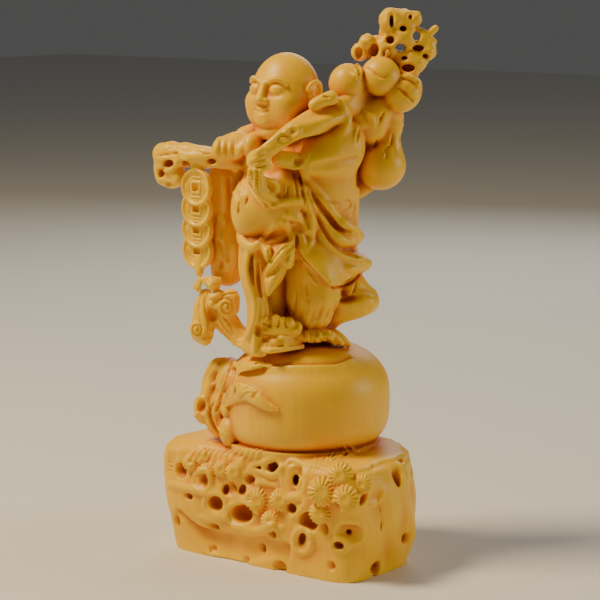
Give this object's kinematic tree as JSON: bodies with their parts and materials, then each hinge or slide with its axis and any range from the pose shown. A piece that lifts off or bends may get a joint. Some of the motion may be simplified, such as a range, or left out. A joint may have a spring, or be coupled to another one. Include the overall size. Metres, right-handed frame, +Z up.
{
  "type": "budai figure",
  "caption": "One-block boxwood carving of a walking budai with a coin string, a pierced staff and a sack, on a giant peach over a rootwood base.",
  "frame": {"origin": "centre of the carving's box, on the surface that the base stands on", "axes": "+Z up, -Y the way the figure faces, +X to the figure's left"},
  "size_m": [0.1088, 0.0718, 0.2217],
  "materials": {
    "boxwood": "waxed yellow boxwood, smooth satin polish, deeper orange in the cuts"
  },
  "bodies": {
    "root": {"budai_carving": "boxwood"}
  },
  "joints": []
}
